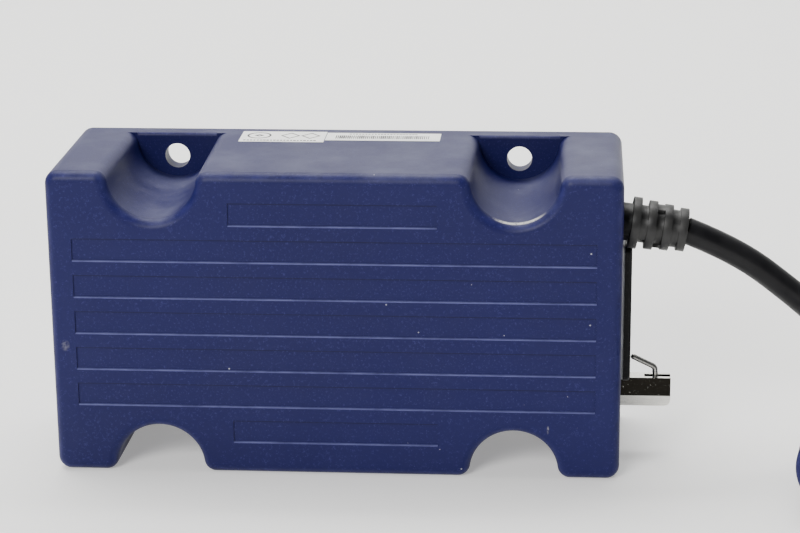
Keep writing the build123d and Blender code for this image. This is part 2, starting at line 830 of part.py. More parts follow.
def contact_places():
    """Row number, Y and Z of each contact."""
    middle = (contact_count - 1) / 2
    return [
        (row, y, middle_z + (index - middle) * contact_pitch)
        for row, y in enumerate(contact_rows) for index in range(contact_count)
    ]


def contact_tails(grow):
    """All bent tails, grown by a clearance."""
    return [contact_tail(y, z, row, grow)[0] for row, y, z in contact_places()]


def socket_contacts():
    """Ten tinned blades in two rows."""
    contacts = []
    for row, y, z in contact_places():
        tail, tail_x = contact_tail(y, z, row)
        link = block(
            (tail_x - contact_thickness / 2, y - contact_thickness / 2, z - tail_breadth / 2),
            (insert_back_x, y + contact_thickness / 2, z + tail_breadth / 2),
        )
        contacts.append(contact_blade(y, z) + link + tail)
    return contacts


def socket_insert():
    """Moulded insert: a flange behind the wall, a nose through it and a recess for the plug."""
    nose = Pos(0, middle_z) * RectangleRounded(mouth_width + 2 * insert_wall, mouth_height + 2 * insert_wall, 1.1)
    insert = end_plate(nose, insert_back_x, insert_outer_x)
    flange = Pos(0, middle_z) * RectangleRounded(bezel_width, bezel_height, 1.5)
    insert += end_plate(flange, inner_end_x - insert_flange_thickness, inner_end_x)
    insert -= end_plate(mouth_outline(), insert_floor_x, insert_outer_x + 1)
    for _, y, z in contact_places():
        insert -= contact_blade(y, z, contact_gap)
    for y, z in bezel_screw_places():
        insert -= rod((insert_back_x, y, z), (inner_end_x + 1, y, z), bezel_screw_radius + fit_gap)
    return insert


# ---- Latch bar and wire latch ----
def latch_bar():
    """Plated bar through the end wall, with a foot inside and a slot for the wire at its outer end."""
    half = bar_width / 2
    bevel = half * 0.75
    section = Plane.YZ.offset(inner_end_x - pad_thickness - bar_foot_thickness) * make_face(Polyline(
        (-half, bar_top), (-half, bar_bottom + bar_lower_bevel), (-half + bevel, bar_bottom),
        (half - bevel, bar_bottom), (half, bar_bottom + bar_lower_bevel), (half, bar_top), close=True,
    ))
    bar = extrude(section, amount=bar_end_x - inner_end_x + pad_thickness + bar_foot_thickness)
    lower_end = bar.edges().filter_by(Axis.Y).sort_by(Axis.X)[-2:].sort_by(Axis.Z)[0]
    bar = fillet(lower_end, bar_toe_radius)
    foot = block(
        (inner_end_x - pad_thickness - bar_foot_thickness, -bar_foot_width / 2, foot_low_z),
        (inner_end_x - pad_thickness, bar_foot_width / 2, foot_low_z + bar_foot_height),
    )
    bar += foot
    for y in (-bar_screw_y, bar_screw_y):
        bar -= rod(
            (inner_end_x - pad_thickness - bar_foot_thickness - 1, y, foot_screw_z),
            (inner_end_x - pad_thickness + 1, y, foot_screw_z), bar_screw_radius + hole_gap,
        )
    bar -= block(
        (bar_end_x - slot_length, -slot_width / 2, bar_top - slot_depth),
        (bar_end_x + 1, slot_width / 2, bar_top + 1),
    )
    return bar - rod((pivot_x, -half - 1, pivot_z), (pivot_x, half + 1, pivot_z), pin_radius)


def latch_screws():
    """Two screws from inside through the bar's foot into the pad."""
    seat_x = inner_end_x - pad_thickness - bar_foot_thickness
    return [
        cap_screw((seat_x, y, foot_screw_z), (1, 0, 0), bar_screw_radius, 6.0, 2.7, 1.8)
        for y in (-bar_screw_y, bar_screw_y)
    ]


def latch_pin():
    """Cross pin pressed through the bar's fork; the wire turns on it."""
    half = bar_width / 2
    return rod((pivot_x, -half, pivot_z), (pivot_x, half, pivot_z), pin_radius)


def wire_latch():
    """Bent spring wire: an eye round the pin, a knee, and a tip that rests against the bezel."""
    eye_radius = pin_radius + fit_gap + wire_radius
    eye = Plane(origin=(pivot_x, 0, pivot_z), z_dir=(0, 1, 0)) * Torus(eye_radius, wire_radius)
    foot = (pivot_x - eye_radius, 0, pivot_z)
    knee = (pivot_x + wire_knee[0], 0, pivot_z + wire_knee[1])
    tip = (bezel_outer_x + wire_tip_gap + wire_radius, 0, pivot_z + wire_tip_rise)
    path = FilletPolyline(foot, knee, tip, radius=wire_bend_radius)
    section = Plane(origin=path @ 0, z_dir=path % 0) * Circle(wire_radius)
    arm = sweep(section, path=path)
    return eye + arm + Pos(*tip) * Sphere(wire_radius)


# ---- Supply cable outside the housing: run, coil, ties, tail and plug ----
def cable_tube(points, name):
    """Straight runs joined by tangent arcs that are as large as the runs allow."""
    vectors = [Vector(*point) for point in points]
    radii = []
    for before, corner, after in zip(vectors, vectors[1:], vectors[2:]):
        turn = (corner - before).get_angle(after - corner)
        run = min((corner - before).length, (after - corner).length)
        radii.append(0.45 * run / math.tan(math.radians(turn) / 2))
    path = FilletPolyline(*points, radius=radii)
    section = Plane(origin=path @ 0, z_dir=path % 0) * Circle(cable_radius)
    tube = sweep(section, path=path)
    expected = math.pi * cable_radius ** 2 * path.length
    print(name, "radii", [round(radius, 1) for radius in radii], "length", round(path.length, 1),
          "volume ratio", round(tube.volume / expected, 4))
    return tube


coil_layer_low = coil_lift + cable_radius
coil_outer_turn = coil_mean_radius + cable_radius
cable_run_points = [
    (gland_end.X, gland_end.Y, gland_end.Z),
    (97.4, -9.7, 55.8),
    (110.6, -7.9, 45.6),
    (122.6, -5.3, 34.6),
    (134.0, -2.9, 23.6),
    (146.4, -0.8, 13.4),
    (159.2, 0.8, 6.6),
    (171.4, coil_centre[1] - coil_outer_turn, coil_layer_low),
]
plug_direction = Vector(-math.sin(math.radians(plug_heading)), -math.cos(math.radians(plug_heading)), 0)
coil_exit = Vector(
    coil_centre[0] - coil_outer_turn * math.cos(math.radians(plug_heading)),
    coil_centre[1] + coil_outer_turn * math.sin(math.radians(plug_heading)),
    coil_layer_low + 2 * cable_radius,
)
boot_start = coil_exit + plug_direction * tail_length + Vector(0, 0, plug_radius - coil_exit.Z)
cable_tail_points = [
    (coil_exit.X, coil_exit.Y, coil_exit.Z),
    (coil_exit.X - 3.9, coil_exit.Y - 17.6, coil_exit.Z + 0.9),
    (boot_start.X, boot_start.Y, boot_start.Z),
]


def cable_run():
    """The cable from the strain relief down to the coil."""
    return cable_tube(cable_run_points, "cable_run")


def cable_tail():
    """The cable from the coil to the plug's boot."""
    return cable_tube(cable_tail_points, "cable_tail")


def coil_section(grow=0.0):
    """Rounded section of the bundled turns, two wide and two high."""
    return RectangleRounded(4 * cable_radius + 2 * grow, 4 * cable_radius + 2 * grow, cable_radius + grow)


def cable_coil():
    """The bundle's outer shape: one closed ring."""
    section = Plane.XZ * Pos(coil_mean_radius, coil_lift + 2 * cable_radius) * coil_section()
    ring = revolve(section, axis=Axis.Z)
    return Pos(coil_centre[0], coil_centre[1], 0) * ring


def coil_ties():
    """Two hook-and-loop ties round the bundle; the coil lies on them."""
    ties = []
    ring = coil_section(tie_thickness) - coil_section(fit_gap)
    for turn in (45.0, 225.0):
        section = Plane.XZ * Pos(coil_mean_radius, coil_lift + 2 * cable_radius) * ring
        sweep_angle = math.degrees(tie_width / coil_mean_radius)
        tie = revolve(section, axis=Axis.Z, revolution_arc=sweep_angle)
        ties.append(Pos(coil_centre[0], coil_centre[1], 0) * Rot(0, 0, turn) * tie)
    return ties


plug_place = Plane(origin=boot_start, x_dir=(0, 0, 1), z_dir=plug_direction)


def plug_boot():
    """Black flexible sleeve behind the plug."""
    thin, thick = boot_end_radii
    sleeve = Cone(thin, thick, plug_boot_length, align=(Align.CENTER, Align.CENTER, Align.MIN))
    groove_pitch = plug_boot_length / (boot_groove_count + 1)
    for index in range(boot_groove_count):
        along = (index + 0.8) * groove_pitch
        radius = thin + (thick - thin) * along / plug_boot_length
        sleeve -= Pos(0, 0, along) * Torus(radius + boot_groove_radius / 2, boot_groove_radius)
    return plug_place * sleeve


def plug_shell():
    """Blue moulded plug body with finger grooves and an open mouth round its pins."""
    upright = (Align.CENTER, Align.CENTER, Align.MIN)
    body = Cylinder(plug_radius, plug_length, align=upright)
    body = fillet(body.edges().sort_by(Axis.Z)[0], plug_rear_radius)
    body = fillet(body.edges().sort_by(Axis.Z)[-1], plug_rim_radius)
    groove = Cylinder(plug_groove_radius, plug_groove_length, align=upright)
    groove = Pos(plug_radius + 0.5, 0, plug_groove_start) * groove
    for index in range(plug_groove_count):
        body -= Rot(0, 0, (index + 0.5) * 360 / plug_groove_count) * groove
    mouth = Cylinder(plug_radius - plug_wall, plug_mouth_depth + 1, align=upright)
    body -= Pos(0, 0, plug_length - plug_mouth_depth) * mouth
    return plug_place * Pos(0, 0, plug_boot_length) * body


def plug_pin_places():
    """Four pins on a square."""
    side = pin_spread / math.sqrt(2)
    return [(side, side), (-side, side), (-side, -side), (side, -side)]


def plug_insert():
    """Black insert at the bottom of the plug's mouth."""
    upright = (Align.CENTER, Align.CENTER, Align.MIN)
    body = Cylinder(plug_radius - plug_wall - seat_gap, plug_insert_height, align=upright)
    for x, y in plug_pin_places():
        body -= Pos(x, y, plug_pin_seat) * Cylinder(plug_pin_radius + fit_gap, plug_insert_height, align=upright)
    return plug_place * Pos(0, 0, plug_boot_length + plug_length - plug_mouth_depth) * body


def plug_pins():
    """Four plated pins that end below the plug's mouth."""
    low = plug_boot_length + plug_length - plug_mouth_depth + plug_pin_seat
    height = plug_mouth_depth - plug_pin_setback - plug_pin_seat
    pins = []
    for x, y in plug_pin_places():
        pin = Cylinder(plug_pin_radius, height, align=(Align.CENTER, Align.CENTER, Align.MIN))
        pin = fillet(pin.edges().sort_by(Axis.Z)[-1], plug_pin_radius / 2)
        pins.append(plug_place * Pos(x, y, low) * pin)
    return pins


# ---- Labels on the upper long face ----
def label(low_x, high_x, near_edge, far_edge):
    """A thin printed label; its long edges are measured from the mounting face."""
    low = (low_x, half_depth - far_edge, housing_height)
    return block(low, (high_x, half_depth - near_edge, housing_height + label_thickness))


def approval_label():
    """Left label."""
    return label(*left_label)


def barcode_label():
    """Right label."""
    return label(*right_label)


nodes = {
    "housing_shell": housing_shell,
    "back_cover": back_cover,
    "cover_gasket": cover_gasket,
    "cover_screws": cover_screws,
    "circuit_board": circuit_board,
    "board_screws": board_screws,
    "heat_sink": heat_sink,
    "power_transistors": power_transistors,
    "transistor_screws": transistor_screws,
    "smoothing_capacitors": smoothing_capacitors,
    "control_relay": control_relay,
    "choke_core": choke_core,
    "choke_winding": choke_winding,
    "controller_chip": controller_chip,
    "motion_sensor": motion_sensor,
    "current_shunt": current_shunt,
    "fuse_clips": fuse_clips,
    "glass_fuse": glass_fuse,
    "terminal_block": terminal_block,
    "cable_cores": cable_cores,
    "cable_entry": cable_entry,
    "cable_clamp": cable_clamp,
    "clamp_screw": clamp_screw,
    "strain_relief": strain_relief,
    "socket_gasket": socket_gasket,
    "socket_bezel": socket_bezel,
    "bezel_screws": bezel_screws,
    "socket_insert": socket_insert,
    "socket_contacts": socket_contacts,
    "latch_bar": latch_bar,
    "latch_screws": latch_screws,
    "latch_pin": latch_pin,
    "wire_latch": wire_latch,
    "cable_run": cable_run,
    "cable_coil": cable_coil,
    "coil_ties": coil_ties,
    "cable_tail": cable_tail,
    "plug_boot": plug_boot,
    "plug_shell": plug_shell,
    "plug_insert": plug_insert,
    "plug_pins": plug_pins,
    "approval_label": approval_label,
    "barcode_label": barcode_label,
}

os.makedirs("parts", exist_ok=True)
for name, make in nodes.items():
    shape = make()
    if isinstance(shape, list):
        shape = Compound(children=shape)
    export_step(shape, f"parts/{name}.step")
    print(name, "written")
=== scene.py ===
import bpy
import bmesh
import math
from mathutils import Matrix, Vector


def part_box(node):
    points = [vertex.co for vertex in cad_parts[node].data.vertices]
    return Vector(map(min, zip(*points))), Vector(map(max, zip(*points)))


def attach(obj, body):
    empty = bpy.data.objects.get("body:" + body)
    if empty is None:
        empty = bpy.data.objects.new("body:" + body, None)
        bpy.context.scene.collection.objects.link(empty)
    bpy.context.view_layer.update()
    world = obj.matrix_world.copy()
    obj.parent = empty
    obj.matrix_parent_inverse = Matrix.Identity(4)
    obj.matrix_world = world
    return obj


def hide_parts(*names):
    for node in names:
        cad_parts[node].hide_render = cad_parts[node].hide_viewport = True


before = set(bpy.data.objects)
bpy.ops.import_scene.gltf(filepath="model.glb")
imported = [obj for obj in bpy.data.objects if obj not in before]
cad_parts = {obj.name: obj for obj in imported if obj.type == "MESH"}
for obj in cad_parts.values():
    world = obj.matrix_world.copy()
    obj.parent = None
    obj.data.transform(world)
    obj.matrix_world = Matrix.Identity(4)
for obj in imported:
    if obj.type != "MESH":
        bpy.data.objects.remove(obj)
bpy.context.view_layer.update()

# ==== Studio ====
# A long-lens camera looks slightly down at the banded front face of the box.
# The floor curves up into a pale backdrop, and large soft lamps light it from above.
scene = bpy.context.scene
MM = 0.001


camera_place = (0.05873, -0.57071, 0.22016)
camera_heading, camera_pitch = math.radians(4.4226), math.radians(16.793)
camera_roll = -0.00892


def add_camera():
    data = bpy.data.cameras.new("camera")
    data.sensor_width = 36.0
    data.lens = 107.0
    data.clip_start = 0.01
    camera = bpy.data.objects.new("camera", data)
    scene.collection.objects.link(camera)
    place = Matrix.Translation(camera_place)
    heading = Matrix.Rotation(camera_heading, 4, "Z")
    tilt = Matrix.Rotation(math.pi / 2 - camera_pitch, 4, "X")
    roll = Matrix.Rotation(camera_roll, 4, "Z")
    camera.matrix_world = place @ heading @ tilt @ roll
    scene.camera = camera


def add_lamp(name, place, target, size, watts, colour=(1.0, 1.0, 1.0)):
    data = bpy.data.lights.new(name, "AREA")
    data.shape = "RECTANGLE"
    data.size, data.size_y = size
    data.energy = watts
    data.color = colour
    lamp = bpy.data.objects.new(name, data)
    lamp.location = place
    lamp.rotation_euler = (Vector(target) - Vector(place)).to_track_quat("-Z", "Y").to_euler()
    scene.collection.objects.link(lamp)


def new_mesh_object(name, vertices, faces, smooth=False):
    mesh = bpy.data.meshes.new(name)
    mesh.from_pydata(vertices, [], faces)
    mesh.update()
    if smooth:
        mesh.shade_smooth()
    made = bpy.data.objects.new(name, mesh)
    scene.collection.objects.link(made)
    return made


def add_backdrop():
    depth_front, depth_back, bend, height = -1.6, 1.5, 0.5, 2.0
    profile = [(depth_front, 0.0), (depth_back - bend, 0.0)]
    steps = 16
    for step in range(1, steps + 1):
        angle = math.pi / 2 * step / steps
        profile.append((depth_back - bend + bend * math.sin(angle), bend * (1 - math.cos(angle))))
    profile.append((depth_back, height))
    wide = 2.4
    vertices = [(side * wide, y, z) for y, z in profile for side in (-1, 1)]
    faces = [(2 * i, 2 * i + 1, 2 * i + 3, 2 * i + 2) for i in range(len(profile) - 1)]
    floor = new_mesh_object("studio_floor", vertices, faces, smooth=True)
    material = bpy.data.materials.new("studio_paper")
    material.use_nodes = True
    shader = material.node_tree.nodes["Principled BSDF"]
    shader.inputs["Base Color"].default_value = (0.82, 0.82, 0.81, 1)
    shader.inputs["Roughness"].default_value = 0.75
    shader.inputs["Emission Color"].default_value = (1.0, 0.99, 0.965, 1)
    shader.inputs["Emission Strength"].default_value = 0.34
    floor.data.materials.append(material)


def add_world():
    """Soft daylight from behind; the room in front of the box stays dim."""
    world = bpy.data.worlds.new("studio_world")
    world.use_nodes = True
    tree = world.node_tree
    direction = tree.nodes.new("ShaderNodeTexCoord")
    parts = tree.nodes.new("ShaderNodeSeparateXYZ")
    fade = tree.nodes.new("ShaderNodeMapRange")
    fade.inputs["From Min"].default_value = -0.9
    fade.inputs["From Max"].default_value = 0.5
    fade.inputs["To Min"].default_value = 0.10
    fade.inputs["To Max"].default_value = 0.62
    tree.links.new(direction.outputs["Generated"], parts.inputs[0])
    tree.links.new(parts.outputs["Y"], fade.inputs["Value"])
    background = tree.nodes["Background"]
    background.inputs["Color"].default_value = (0.88, 0.90, 0.93, 1)
    tree.links.new(fade.outputs["Result"], background.inputs["Strength"])
    scene.world = world


add_camera()
add_backdrop()
add_lamp("top_softbox", (-0.25, 0.35, 1.15), (0.0, 0.0, 0.03), (1.2, 0.8), 18.0, (1.0, 0.99, 0.97))
add_lamp("front_softbox", (-0.48, -1.20, 0.85), (-0.05, 0.0, 0.05), (0.6, 0.5), 20.0, (1.0, 0.99, 0.98))
add_lamp("backdrop_lamp", (0.1, 0.45, 1.3), (0.1, 1.45, 0.45), (1.6, 0.5), 17.0)
add_world()


# ==== Housing ====
# One injection moulding in dark royal-blue plastic with a fine spark-eroded grain and a satin face.
# Four tapered wells run back to flanges that are flush with the mounting face; the front's bands get painted
# highlight and shade lines.
class Sheet:
    """Short calls for building one node tree."""

    def __init__(self, tree):
        self.tree = tree

    def put(self, socket, value):
        """Links another node's output to a socket, or sets the socket to a constant."""
        if isinstance(value, bpy.types.NodeSocket):
            self.tree.links.new(value, socket)
        else:
            socket.default_value = value

    def add(self, kind, links=None, **settings):
        node = self.tree.nodes.new(kind)
        for key, value in settings.items():
            setattr(node, key, value)
        for key, value in (links or {}).items():
            self.put(node.inputs[key], value)
        return node

    def math(self, operation, a, b=0.0, clamp=False):
        return self.add("ShaderNodeMath", {0: a, 1: b}, operation=operation, use_clamp=clamp).outputs[0]

    def remap(self, value, low, high, new_low=0.0, new_high=1.0):
        links = {"Value": value, "From Min": low, "From Max": high, "To Min": new_low, "To Max": new_high}
        return self.add("ShaderNodeMapRange", links, clamp=True).outputs["Result"]

    def noise(self, where, scale, detail=3.0, roughness=0.5):
        links = {"Vector": where, "Scale": scale, "Detail": detail, "Roughness": roughness}
        return self.add("ShaderNodeTexNoise", links).outputs["Fac"]

    def mix(self, share, a, b):
        node = self.add("ShaderNodeMix", {"Factor": share}, data_type="RGBA")
        self.put(node.inputs[6], a)
        self.put(node.inputs[7], b)
        return node.outputs[2]

    def bump(self, height, strength, distance):
        links = {"Height": height, "Strength": strength, "Distance": distance}
        return self.add("ShaderNodeBump", links).outputs["Normal"]

    def where(self):
        return self.add("ShaderNodeTexCoord").outputs["Object"]


def new_group(name, inputs, outputs):
    """An empty shader group with float or vector inputs and float outputs."""
    group = bpy.data.node_groups.new(name, "ShaderNodeTree")
    for socket_name, kind, value in inputs:
        socket = group.interface.new_socket(socket_name, in_out="INPUT", socket_type=kind)
        if value is not None:
            socket.default_value = value
    for socket_name in outputs:
        group.interface.new_socket(socket_name, in_out="OUTPUT", socket_type="NodeSocketFloat")
    sheet = Sheet(group)
    return group, sheet, sheet.add("NodeGroupInput").outputs, sheet.add("NodeGroupOutput").inputs


def make_grain_group():
    """Spark-eroded grain: its height, and a speckle of brighter tips."""
    group, sheet, given, wanted = new_group(
        "spark_grain",
        [("Vector", "NodeSocketVector", None), ("Scale", "NodeSocketFloat", 1800.0)],
        ["Height", "Speckle"],
    )
    coarse = sheet.noise(given["Vector"], given["Scale"], 2.0, 0.6)
    fine_scale = sheet.math("MULTIPLY", given["Scale"], 2.3)
    fine = sheet.noise(given["Vector"], fine_scale, 1.0, 0.5)
    height = sheet.math("ADD", sheet.math("MULTIPLY", coarse, 0.65), sheet.math("MULTIPLY", fine, 0.35))
    sheet.tree.links.new(height, wanted["Height"])
    sheet.tree.links.new(sheet.remap(height, 0.56, 0.68), wanted["Speckle"])
    return group


def make_dust_group():
    """Settled dust and small pale specks, thickest on faces that look up."""
    group, sheet, given, wanted = new_group(
        "dust",
        [("Vector", "NodeSocketVector", None), ("Scale", "NodeSocketFloat", 60.0)],
        ["Film", "Specks"],
    )
    cloud = sheet.remap(sheet.noise(given["Vector"], given["Scale"], 5.0, 0.62), 0.42, 0.78)
    facing = sheet.add("ShaderNodeSeparateXYZ", {0: sheet.add("ShaderNodeNewGeometry").outputs["Normal"]})
    upward = sheet.remap(facing.outputs["Z"], 0.1, 1.0, 0.03, 1.0)
    sheet.tree.links.new(sheet.math("MULTIPLY", cloud, upward), wanted["Film"])
    speck_scale = sheet.math("MULTIPLY", given["Scale"], 5.5)
    cells = sheet.add("ShaderNodeTexVoronoi", {"Vector": given["Vector"], "Scale": speck_scale},
                      feature="F1")
    size = sheet.add("ShaderNodeSeparateColor", {0: cells.outputs["Color"]}).outputs[0]
    radius = sheet.remap(size, 0.86, 1.0, 0.0, 0.085)
    near = sheet.math("LESS_THAN", cells.outputs["Distance"], radius)
    sheet.tree.links.new(near, wanted["Specks"])
    return group


def make_fillet_highlight_group():
    """Painted highlight on the fillets: a broken mask on the rounds between one axis and the faces beside it.
    """
    group, sheet, given, wanted = new_group(
        "fillet_highlight",
        [("Vector", "NodeSocketVector", None), ("Axis", "NodeSocketVector", (0.0, 1.0, 0.0)),
         ("Scale", "NodeSocketFloat", 300.0)],
        ["Mask"],
    )
    normal = sheet.add("ShaderNodeNewGeometry").outputs["Normal"]
    facing = sheet.add("ShaderNodeVectorMath", {0: normal, 1: given["Axis"]}, operation="DOT_PRODUCT")
    along = sheet.math("ABSOLUTE", facing.outputs["Value"])
    square = sheet.math("MULTIPLY", along, along)
    across = sheet.math("SQRT", sheet.math("SUBTRACT", 1.0, square, clamp=True))
    round_share = sheet.remap(sheet.math("MINIMUM", along, across), 0.30, 0.62)
    broken = sheet.remap(sheet.noise(given["Vector"], given["Scale"], 4.0, 0.6), 0.38, 0.66)
    sheet.tree.links.new(sheet.math("MULTIPLY", round_share, broken), wanted["Mask"])
    return group


grain_group = make_grain_group()
dust_group = make_dust_group()
fillet_highlight_group = make_fillet_highlight_group()


def start_material(name, **shader_values):
    """A node material with its Principled shader's constant values set."""
    material = bpy.data.materials.new(name)
    material.use_nodes = True
    shader = material.node_tree.nodes["Principled BSDF"]
    for key, value in shader_values.items():
        shader.inputs[key.replace("_", " ")].default_value = value
    sheet = Sheet(material.node_tree)
    return material, sheet, shader


def use_group(sheet, group, **values):
    node = sheet.add("ShaderNodeGroup", node_tree=group)
    for key, value in values.items():
        sheet.put(node.inputs[key], value)
    return node.outputs


def spot(sheet, where, centre, size):
    """A soft, broken mark: full at its centre and nothing past its size along X, Y and Z."""
    offset = sheet.add("ShaderNodeVectorMath", {0: where, 1: centre}, operation="SUBTRACT").outputs[0]
    scaled = sheet.add("ShaderNodeVectorMath", {0: offset, 1: size}, operation="DIVIDE").outputs[0]
    length = sheet.add("ShaderNodeVectorMath", {0: scaled}, operation="LENGTH").outputs["Value"]
    soft = sheet.remap(length, 1.0, 0.45)
    return sheet.math("MULTIPLY", soft, sheet.remap(sheet.noise(where, spot_grain_scale, 3.0), 0.36, 0.58))


def well_rim_mark(sheet, where):
    """The pale worn crescent on the right well's front rim."""
    place = sheet.add("ShaderNodeSeparateXYZ", {0: where}).outputs
    across = sheet.math("SUBTRACT", place["X"], well_x)
    down = sheet.math("SUBTRACT", place["Z"], well_centre_z)
    square = sheet.math("ADD", sheet.math("MULTIPLY", across, across), sheet.math("MULTIPLY", down, down))
    off_rim = sheet.math("ABSOLUTE", sheet.math("SUBTRACT", sheet.math("SQRT", square), rim_radius))
    line = sheet.remap(off_rim, 0.42 * MM, 0.10 * MM)
    middle = sheet.math("ABSOLUTE", sheet.math("SUBTRACT", place["X"], well_x + rim_mark_shift))
    ends = sheet.remap(middle, 6.6 * MM, 3.6 * MM)
    depth = sheet.math("ABSOLUTE", sheet.math("SUBTRACT", place["Y"], housing_low[1] + rim_mark_depth))
    band = sheet.remap(depth, 0.75 * MM, 0.35 * MM)
    mark = sheet.math("MULTIPLY", sheet.math("MULTIPLY", line, ends), band)
    return sheet.math("MULTIPLY", mark, sheet.remap(sheet.noise(where, 1500.0, 4.0, 0.65), 0.30, 0.50))


def band_lines(sheet, where):
    """Painted highlight lines under the bands' lower edges, and painted shade in the corner of their upper
    edges.
    """
    place = sheet.add("ShaderNodeSeparateXYZ", {0: where}).outputs
    steps = sheet.math("DIVIDE", sheet.math("SUBTRACT", place["Z"], band_middle_z), band_pitch)
    nearest = sheet.math("ROUND", steps)
    within = sheet.math("MULTIPLY", sheet.math("SUBTRACT", steps, nearest), band_pitch)
    row = sheet.math("ABSOLUTE", nearest)
    outer_row = sheet.math("GREATER_THAN", row, last_long_row)
    shorter = sheet.math("MULTIPLY", outer_row, (long_band - short_band) / 2)
    reach = sheet.math("SUBTRACT", long_band / 2, shorter)
    inside = sheet.math("LESS_THAN", sheet.math("ABSOLUTE", place["X"]), reach)
    real_row = sheet.math("LESS_THAN", row, last_row)
    front = sheet.math("LESS_THAN", place["Y"], housing_low[1] + 0.5 * MM)
    there = sheet.math("MULTIPLY", sheet.math("MULTIPLY", inside, real_row), front)
    lower = sheet.math("ABSOLUTE", sheet.math("ADD", within, band_height / 2 + 0.06 * MM))
    upper = sheet.math("ABSOLUTE", sheet.math("SUBTRACT", within, band_height / 2 - 0.02 * MM))
    uneven = sheet.remap(sheet.noise(where, 160.0, 4.0, 0.6), 0.30, 0.60, 0.45, 1.0)
    pale = sheet.math("MULTIPLY", sheet.remap(lower, 0.26 * MM, 0.10 * MM), uneven)
    shade = sheet.remap(upper, 0.22 * MM, 0.08 * MM)
    return sheet.math("MULTIPLY", pale, there), sheet.math("MULTIPLY", shade, there)


def moulded_plastic(name, dark, light, rough, film_share, axis=(0.0, 1.0, 0.0), marks=(), fronted=False,
                    specular=0.42):
    """Moulded plastic: cloudy colour, spark grain, a film of dust and painted sheen on what looks up, and a
    painted highlight on the edge fillets.
    """
    material, sheet, shader = start_material(name, Specular_IOR_Level=specular)
    where = sheet.where()
    grain = use_group(sheet, grain_group, Vector=where, Scale=plastic_grain_scale)
    dust = use_group(sheet, dust_group, Vector=where, Scale=plastic_dust_scale)
    edge_highlight = use_group(sheet, fillet_highlight_group, Vector=where, Axis=axis)
    cloud = sheet.remap(sheet.noise(where, 22.0, 4.0, 0.55), 0.3, 0.7)
    colour = sheet.mix(cloud, dark, light)
    pale = tuple(min(1.0, c * 1.9 + 0.02) for c in light[:3]) + (1,)
    colour = sheet.mix(sheet.math("MULTIPLY", grain["Speckle"], 0.60), colour, pale)
    # Painted highlight: the edge fillets are lightened towards the pale colour.
    colour = sheet.mix(sheet.math("MULTIPLY", edge_highlight["Mask"], 0.35), colour, pale)
    # Dust and painted sheen: a lilac-grey film on faces that look up stands in for settled dust and for the
    # sheen on the top faces.
    dust_and_sheen_film = sheet.math("MULTIPLY", dust["Film"], film_share)
    colour = sheet.mix(dust_and_sheen_film, colour, dust_and_sheen_colour)
    colour = sheet.mix(sheet.math("MULTIPLY", dust["Specks"], 0.5), colour, speck_colour)
    if fronted:
        highlight_lines, shade_lines = band_lines(sheet, where)
        # Painted shade along the bands' upper edges and painted highlight along their lower edges.
        colour = sheet.mix(sheet.math("MULTIPLY", shade_lines, 0.75), colour, band_shade_colour)
        colour = sheet.mix(sheet.math("MULTIPLY", highlight_lines, 0.75), colour, band_highlight_colour)
        colour = sheet.mix(sheet.math("MULTIPLY", well_rim_mark(sheet, where), 0.9), colour, mark_colour)
    for centre, size, share in marks:
        mark = sheet.math("MULTIPLY", spot(sheet, where, centre, size), share)
        colour = sheet.mix(mark, colour, mark_colour)
    sheet.tree.links.new(colour, shader.inputs["Base Color"])
    roughness = sheet.math("ADD", sheet.math("MULTIPLY", cloud, 0.07), rough)
    roughness = sheet.math("ADD", roughness, sheet.math("MULTIPLY", dust_and_sheen_film, 0.3))
    sheet.tree.links.new(roughness, shader.inputs["Roughness"])
    sheet.tree.links.new(sheet.bump(grain["Height"], 0.85, 0.00003), shader.inputs["Normal"])
    return material


def dress(node, material):
    """Puts one material on all of a CAD node's slots."""
    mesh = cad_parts[node].data
    if not mesh.materials:
        mesh.materials.append(material)
    for index in range(len(mesh.materials)):
        mesh.materials[index] = material


# The dust colour also serves as a painted sheen on the faces that look up.
dust_and_sheen_colour = (0.30, 0.31, 0.40, 1)
speck_colour = (0.55, 0.56, 0.62, 1)
mark_colour = (0.62, 0.60, 0.58, 1)
# Painted shade and painted highlight for the bands' edge lines.
band_shade_colour = (0.003, 0.004, 0.028, 1)
band_highlight_colour = (0.13, 0.14, 0.33, 1)
plastic_grain_scale = 1700.0
plastic_dust_scale = 70.0
spot_grain_scale = 900.0
housing_low, housing_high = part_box("housing_shell")
well_x = 44.0 * MM
well_centre_z = housing_high[2] - 1.05 * MM
rim_radius = 11.12 * MM
rim_mark_shift = 1.0 * MM
rim_mark_depth = 2.1 * MM
band_pitch = 9.28 * MM
band_height = 5.5 * MM
band_middle_z = (housing_low[2] + housing_high[2]) / 2 + 0.5 * MM
long_band = 127.6 * MM
short_band = 50.6 * MM
last_long_row = 2.5
last_row = 3.5
housing_marks = [
    ((-0.0665, housing_low[1], 0.033), (0.0012, 0.0010, 0.0016), 0.16),
    ((0.0524, housing_low[1], 0.013), (0.0003, 0.0010, 0.0012), 0.35),
]
housing_dark = (0.0054, 0.0060, 0.058, 1)
housing_light = (0.0066, 0.0074, 0.068, 1)
housing_plastic = moulded_plastic("housing_plastic", housing_dark, housing_light, 0.42, 0.21,
                                  marks=housing_marks, fronted=True, specular=0.20)
dress("housing_shell", housing_plastic)


